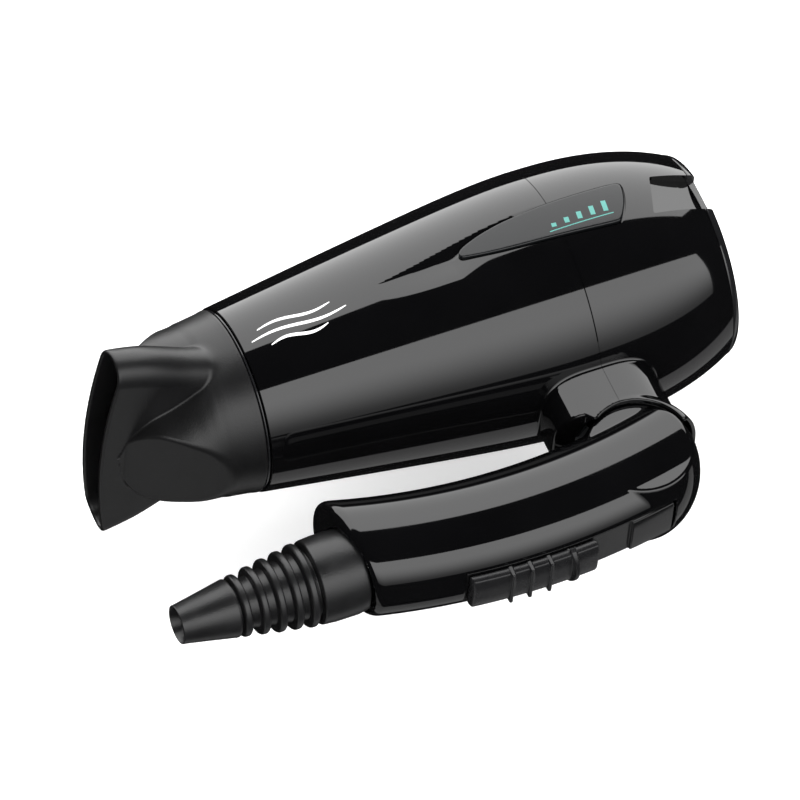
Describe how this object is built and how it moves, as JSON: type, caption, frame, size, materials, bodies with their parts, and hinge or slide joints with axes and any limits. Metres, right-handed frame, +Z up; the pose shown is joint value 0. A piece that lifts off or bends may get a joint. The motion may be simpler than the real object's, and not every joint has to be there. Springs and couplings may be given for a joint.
{
  "type": "folding travel hair dryer",
  "caption": "Travel hair dryer with a folding handle, a turning pull-off concentrator nozzle, a sliding switch and a pull-off rear grille.",
  "frame": {"origin": "centre of the bounding box in plan, at its lowest face; the dryer lies on its side with the handle folded", "axes": "+X along the barrel from outlet to inlet, +Y from the folded handle towards the barrel, +Z up through the right side of the dryer"},
  "size_m": [0.198, 0.1334, 0.0842],
  "materials": {
    "shell_gloss": "high gloss moulded, black",
    "inlay": "semi gloss, dark grey",
    "nozzle_matte": "satin matte, fine spark texture",
    "collar": "gloss, black",
    "outlet": "heat resistant, matte",
    "grille": "matte black",
    "filter": "fine woven mesh",
    "mica": "layered mica sheet",
    "coil": "nickel chrome resistance wire",
    "steel": "zinc plated",
    "duct": "natural nylon",
    "fan": "natural nylon",
    "magnet": "ferrite",
    "copper": "enamelled copper winding",
    "board": "circuit board",
    "brush_cap": "moulded",
    "bracket": "glass filled nylon",
    "switch_matte": "satin matte, black",
    "switch_unit": "moulded",
    "lead": "silicone insulation",
    "relief": "matte flexible PVC"
  },
  "bodies": {
    "barrel": {"front_shell": "shell_gloss", "rear_shell": "shell_gloss", "side_inlay_left": "inlay", "side_inlay_right": "inlay", "outlet_ring": "outlet", "mica_tube": "mica", "mica_board_vertical": "mica", "mica_board_horizontal": "mica", "heater_coil": "coil", "thermal_cutout": "steel", "fan_duct": "duct", "motor_can": "steel", "motor_end_cap": "brush_cap", "motor_magnets": "magnet", "rectifier_board": "board", "shell_screws": "steel", "hinge_bracket": "bracket", "barrel_leads": "lead"},
    "nozzle_collar": {"nozzle_collar": "collar"},
    "nozzle": {"nozzle": "nozzle_matte"},
    "rear_grille": {"rear_grille": "grille", "inlet_filter": "filter"},
    "rotor": {"fan": "fan", "motor_shaft": "steel", "armature": "copper"},
    "handle": {"handle_left": "shell_gloss", "handle_right": "shell_gloss", "switch_plate": "switch_matte", "switch_unit": "switch_unit", "cord_clamp": "bracket", "clamp_screws": "steel", "handle_screws": "steel", "strain_relief": "relief", "handle_leads": "lead"},
    "switch_slider": {"switch_slider": "switch_matte"}
  },
  "joints": [
    {"name": "handle_fold", "type": "hinge", "parent": "barrel", "child": "handle", "pos_m": [0.05, -0.03927, 0.043], "axis": [0, 0, 1], "range_deg": [0, 90]},
    {"name": "nozzle_pull", "type": "slide", "parent": "barrel", "child": "nozzle_collar", "axis": [-1, 0, 0], "range_m": [0, 0.03]},
    {"name": "nozzle_turn", "type": "hinge", "parent": "nozzle_collar", "child": "nozzle", "pos_m": [-0.056, 0.02673, 0.043], "axis": [-1, 0, 0], "continuous": true},
    {"name": "grille_pull", "type": "slide", "parent": "barrel", "child": "rear_grille", "axis": [1, 0, 0], "range_m": [0, 0.02]},
    {"name": "fan_spin", "type": "hinge", "parent": "barrel", "child": "rotor", "pos_m": [0.06, 0.02673, 0.043], "axis": [1, 0, 0], "continuous": true},
    {"name": "switch_slide", "type": "hinge", "parent": "handle", "child": "switch_slider", "pos_m": [0.01, 0.16013, 0.043], "axis": [0, 0, 1], "range_deg": [0, 3.05]}
  ]
}
